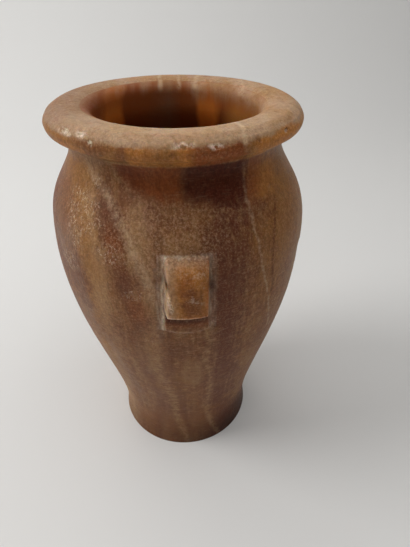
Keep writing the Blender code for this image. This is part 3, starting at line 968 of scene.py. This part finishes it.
def lay_lug(s):
    """The lug's clearer stone: pale on its left, rusty in its middle, dark low on its right, dusty and
    painted paler at its top where it faces up, and chipped, with painted shade under its lip."""
    rusty = s.times(s.patch(s.here, (1.2, 102.5), (2.6, 5), s.ragged), 0.55)
    dark = s.times(s.patch(s.here, (2.6, 97.5), (3.6, 4.8), s.ragged), 0.72)
    lug_stone = s.mix(s.span(s.x, 0.5, -4.0), "amber", "tan")
    lug_stone = s.mix(rusty, lug_stone, "rust")
    lug_stone = s.toned(
        s.mix(dark, lug_stone, "plum"),
        # Painted light: the lug's top, where it faces up, is laid paler.
        (s.z, 106.5, 109.5, 0.75, "dust_and_sheen"),
        (s.x, -1.0, -4.5, 0.35, "bone"),
        (s.x, 3.5, 5.2, 0.5, "umber"),
        (s.mottle, 0.50, 0.34, 0.50, "umber"),
        (s.mottle, 0.54, 0.66, 0.5, "dust_and_sheen"),
    )
    for middle, half_size, strength in LUG_MARKS:
        mark = s.times(s.patch(s.here, middle, half_size, s.mottle), s.span(s.speck, 0.40, 0.56), strength)
        lug_stone = s.mix(mark, lug_stone, "bruise")
    s.coat(lug_stone, s.lug, 0.92)
    # Painted shade under the lip: umber, with russet and near-black brown towards the lip.
    s.coat("umber", s.recess, 0.85)
    s.coat("russet", s.recess, s.span(s.z, 83.0, 86.0, 0.0, 0.80))
    s.coat("painted_shade", s.recess, s.span(s.z, 84.5, 88.0, 0.0, 0.70))


def lay_wear(s):
    """Pale dusty speckle and a painted sheen on the shoulder over the front lug, a thin film, clusters of
    scratches, rubbed places and faint turning lines.
    """
    over_lug = s.patch(s.here, (-4, 112), (19, 11), s.ragged)
    # Painted sheen: pale speckle on the shoulder over the front lug, partly dust on the stone.
    shoulder = s.times(s.span(s.z, 100, 108), s.span(s.over_line, 0.4, -0.8), s.span(s.speck, 0.45, 0.60))
    s.coat("dust_and_sheen", shoulder, over_lug, s.span(s.ragged, 0.35, 0.60, 0.4, 1.0), 0.50)
    film = s.times(s.span(s.speck, 0.50, 0.66), s.less(1.0, s.times(s.neck, 0.8)), s.shell)
    s.coat("dust_and_sheen", film, s.span(s.z, 8, 50, 0.3, 1.0), 0.25)

    squiggle = s.place(s.here, scale=(1.0, 1.0, 0.7))
    squiggle = s.noise(squiggle, 0.95, detail=6, roughness=0.80, distortion=1.6)
    marked = 0.0
    for middle, half_size in SCRATCHED:
        marked = s.math("MAXIMUM", marked, s.patch(s.here, middle, half_size, s.ragged))
    marked = s.times(marked, s.front)
    s.coat("tan", s.span(s.mottle, 0.42, 0.62), marked, 0.40)
    s.coat("bruise", s.span(squiggle, 0.53, 0.62), marked, 0.70)
    patches = s.span(s.noise(s.here, 0.14, detail=3), 0.46, 0.62)
    s.coat("bruise", s.span(s.scratch, 0.64, 0.74), patches, s.less(1.0, s.neck), s.shell, 0.45)

    lower_down = s.times(s.span(s.z, 112, 78, 0.35, 1.0), s.shell, 0.36)
    s.coat("dust_and_sheen", s.span(s.turning, 0.54, 0.70), s.span(s.z, 8, 45, 0.4, 1.0), lower_down)
    s.coat("plum", s.span(s.turning, 0.46, 0.32), lower_down)


def lay_marks(s):
    """Crushed bruises, the scraped skin round the lugs with painted highlights on their edges, painted shade
    in and beside the string holes, fine grit over all, and darkening towards the foot, more on the right."""
    s.coat("bruise", s.bruised, s.span(s.mottle, 0.42, 0.54), s.span(s.speck, 0.35, 0.52, 0.1, 1.0), 0.92)
    worn = s.noise(s.place(s.here, scale=(1, 1, 0.25)), 0.9, detail=4)
    # Scraped pale skin round the lugs, with painted highlights along their edges.
    s.coat("bruise", s.border, s.span(worn, 0.35, 0.62, 0.30, 1.0), 0.85)
    # Painted shade in and beside the string holes.
    s.coat("painted_shade", s.painted_shade, 0.95)
    strokes = s.plus(s.times(s.speck, 0.5), s.times(s.scratch, 0.5))
    grit = s.times(s.span(strokes, 0.36, 0.64, -0.5, 0.5), s.shell, s.span(s.z, 50, 90, 0.10, 0.55))
    grit = s.times(grit, s.span(s.rim_top, 0, 1, 1.0, 0.7))
    s.colour = s.mix(1.0, s.colour, s.plus(grit, 1.0), mode="MULTIPLY")
    # Darkens the stone towards the foot, more to the right.
    darker_low = s.times(s.span(s.z, 18, 0), s.span(s.x, -22, 24, 0.28, 0.78), s.shell)
    s.coat("painted_shade", darker_low, s.span(s.ragged, 0.30, 0.60, 0.6, 1.0))


def calcite(look):
    """Banded calcite: sheets of stone that stand across X, wander slowly and run from lip to foot, with a
    dark band at the neck, pale seams, a dusty worn skin on what faces up that is partly a painted sheen, and
    light that travels a little way in."""
    material = bpy.data.materials.new("banded_calcite")
    material.use_nodes = True
    s = Stone(material, look)
    for lay in (lay_body, lay_neck, lay_lip_face, lay_hollow, lay_lip_top, lay_lug, lay_wear, lay_marks):
        lay(s)

    s.give(s.shader.inputs["Base Color"], s.colour)
    polish = s.plus(s.span(s.speck, 0.35, 0.65, 0.40, 0.56), s.times(s.rim_top, 0.12), s.times(s.neck, -0.10))
    s.give(s.shader.inputs["Roughness"], polish)
    s.shader.inputs["IOR"].default_value = 1.5
    s.shader.inputs["Specular IOR Level"].default_value = 0.12
    s.shader.inputs["Subsurface Weight"].default_value = 0.6
    s.shader.inputs["Subsurface Radius"].default_value = (1.0, 0.34, 0.12)
    s.shader.inputs["Subsurface Scale"].default_value = 2.8 * MM

    relief = s.plus(s.times(s.speck, 0.55), s.times(s.scratch, 0.35), s.times(s.turning, 0.25))
    bump = s.node("Bump")
    bump.inputs["Strength"].default_value = 0.6
    bump.inputs["Distance"].default_value = 0.25 * MM
    s.give(bump.inputs["Height"], relief)
    s.give(s.shader.inputs["Normal"], bump.outputs[0])
    return material


# Operators, panel and registration


class AMPHORISKOS_OT_carve_vessel(bpy.types.Operator):
    """Carves the hollow vessel with its two bored lugs and gives it its banded stone"""

    bl_idname = "amphoriskos.carve_vessel"
    bl_label = "Carve Vessel"

    def execute(self, context):
        form = context.scene.amphoriskos_form
        vessel = bpy.data.objects.new("carved_vessel", skin_mesh("carved_vessel", carve_points(form)))
        context.scene.collection.objects.link(vessel)
        bore_lugs(form, vessel)
        note_wear(form, vessel.data)
        vessel.data.materials.clear()
        vessel.data.materials.append(calcite(context.scene.amphoriskos_stone))
        vessel.data.shade_smooth()
        vessel.data.set_sharp_from_angle(angle=math.radians(50))
        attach(vessel, "root")
        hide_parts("vessel")
        return {"FINISHED"}


def paper_material(look):
    material = bpy.data.materials.new("pale_paper")
    material.use_nodes = True
    shader = material.node_tree.nodes["Principled BSDF"]
    shader.inputs["Base Color"].default_value = (*look.floor, 1)
    shader.inputs["Roughness"].default_value = 0.85
    shader.inputs["Specular IOR Level"].default_value = 0.2
    return material


def paper_sweep(look):
    """A sheet that lies flat, then curves up behind: y and z run along a line, a quarter circle, a line."""
    bend = np.radians(np.linspace(0, 90, 16))
    start, radius = 0.30, 0.35
    y = np.concatenate([[-1.5], start + radius * np.sin(bend), [start + radius]])
    z = np.concatenate([[0.0], radius * (1 - np.cos(bend)), [2.2]])
    corners = np.concatenate([np.stack([np.full(len(y), side), y, z], -1) for side in (-2.5, 2.5)])
    low = np.arange(len(y) - 1)
    faces = np.stack([low, low + len(y), low + len(y) + 1, low + 1], -1)
    mesh = bpy.data.meshes.new("paper_floor")
    mesh.from_pydata(corners.tolist(), [], faces.tolist())
    mesh.materials.append(paper_material(look))
    mesh.shade_smooth()
    floor = bpy.data.objects.new("paper_floor", mesh)
    bpy.context.scene.collection.objects.link(floor)


def soft_light(name, aim, round_from_left, lift, distance, size, power):
    """A round soft light: its turn from the left side towards the front and its lift are in degrees."""
    turn, rise = math.radians(round_from_left), math.radians(lift)
    level = math.cos(rise)
    place = distance * Vector((-level * math.cos(turn), -level * math.sin(turn), math.sin(rise)))
    data = bpy.data.lights.new(name, "AREA")
    data.shape = "DISK"
    data.size = size
    data.energy = power
    light = bpy.data.objects.new(name, data)
    light.location = place
    light.rotation_euler = (Vector(aim) - place).to_track_quat("-Z", "Y").to_euler()
    bpy.context.scene.collection.objects.link(light)


CAMERA_DISTANCE = 133.8 * MM
CAMERA_HEIGHT = 170.7 * MM
CAMERA_AZIMUTH = math.radians(-2.0)
CAMERA_SWING = math.radians(6.05)
CAMERA_PITCH = math.radians(36.13)
CAMERA_ROLL = math.radians(0.155)
LENS_PIXELS = 411.0
FRAME_PIXELS = 547.0
SENSOR = 36.0


def set_camera():
    """Stands the lens where the photograph was taken from, looking down with a slight swing and roll."""
    level_share = math.cos(CAMERA_PITCH)
    swing_x, swing_y = math.sin(CAMERA_SWING), math.cos(CAMERA_SWING)
    forward = Vector((swing_x * level_share, swing_y * level_share, -math.sin(CAMERA_PITCH)))
    level = Vector((math.cos(CAMERA_SWING), -math.sin(CAMERA_SWING), 0))
    upright = level.cross(forward)
    right = math.cos(CAMERA_ROLL) * level + math.sin(CAMERA_ROLL) * upright
    up = math.cos(CAMERA_ROLL) * upright - math.sin(CAMERA_ROLL) * level
    data = bpy.data.cameras.new("camera")
    data.sensor_width = SENSOR
    data.lens = SENSOR * LENS_PIXELS / FRAME_PIXELS
    data.clip_start = 0.01
    camera = bpy.data.objects.new("camera", data)
    turn = Matrix((right, up, -forward)).transposed()
    across, back = math.sin(CAMERA_AZIMUTH) * CAMERA_DISTANCE, math.cos(CAMERA_AZIMUTH) * CAMERA_DISTANCE
    place = Vector((across, -back, CAMERA_HEIGHT))
    camera.matrix_world = Matrix.Translation(place) @ turn.to_4x4()
    bpy.context.scene.collection.objects.link(camera)
    bpy.context.scene.camera = camera


class AMPHORISKOS_OT_set_stage(bpy.types.Operator):
    """Lays the pale paper floor, hangs the soft lights and sets the camera"""

    bl_idname = "amphoriskos.set_stage"
    bl_label = "Set Stage"

    def execute(self, context):
        look = context.scene.amphoriskos_studio
        paper_sweep(look)
        centre = (0, 0, 0.04)
        soft_light("window_light", centre, 0, 46, 0.9, 0.42, look.window_power)
        soft_light("ceiling_light", centre, 0, 90, 1.0, 1.0, look.ceiling_power)
        soft_light("right_light", centre, 170, 60, 1.0, 0.8, look.right_power)
        soft_light("front_light", centre, 90, 60, 0.9, 0.7, look.front_power)
        soft_light("corner_light", centre, -50, 50, 0.8, 0.7, look.corner_power)
        world = bpy.data.worlds.new("studio")
        world.use_nodes = True
        world.node_tree.nodes["Background"].inputs["Color"].default_value = (1, 1, 1, 1)
        world.node_tree.nodes["Background"].inputs["Strength"].default_value = look.room_power
        context.scene.world = world
        context.scene.view_settings.view_transform = "Standard"
        set_camera()
        return {"FINISHED"}


class AMPHORISKOS_PT_panel(bpy.types.Panel):
    """Lists the steps that make the vessel and its stage"""

    bl_idname = "AMPHORISKOS_PT_panel"
    bl_label = "Amphoriskos"
    bl_space_type = "VIEW_3D"
    bl_region_type = "UI"
    bl_category = "Amphoriskos"

    def draw(self, context):
        layout = self.layout
        layout.operator(AMPHORISKOS_OT_carve_vessel.bl_idname)
        layout.operator(AMPHORISKOS_OT_set_stage.bl_idname)
        for group in ("amphoriskos_form", "amphoriskos_stone", "amphoriskos_studio"):
            settings = getattr(context.scene, group)
            box = layout.box()
            for name in settings.bl_rna.properties.keys():
                if name not in ("rna_type", "name"):
                    box.prop(settings, name)


CLASSES = (
    VesselForm,
    StoneLook,
    StudioLook,
    AMPHORISKOS_OT_carve_vessel,
    AMPHORISKOS_OT_set_stage,
    AMPHORISKOS_PT_panel,
)


def register():
    for cls in CLASSES:
        bpy.utils.register_class(cls)
    bpy.types.Scene.amphoriskos_form = PointerProperty(type=VesselForm)
    bpy.types.Scene.amphoriskos_stone = PointerProperty(type=StoneLook)
    bpy.types.Scene.amphoriskos_studio = PointerProperty(type=StudioLook)


def unregister():
    del bpy.types.Scene.amphoriskos_studio
    del bpy.types.Scene.amphoriskos_stone
    del bpy.types.Scene.amphoriskos_form
    for cls in reversed(CLASSES):
        bpy.utils.unregister_class(cls)


def main():
    register()
    bpy.ops.amphoriskos.carve_vessel()
    bpy.ops.amphoriskos.set_stage()


if __name__ == "__main__":
    main()
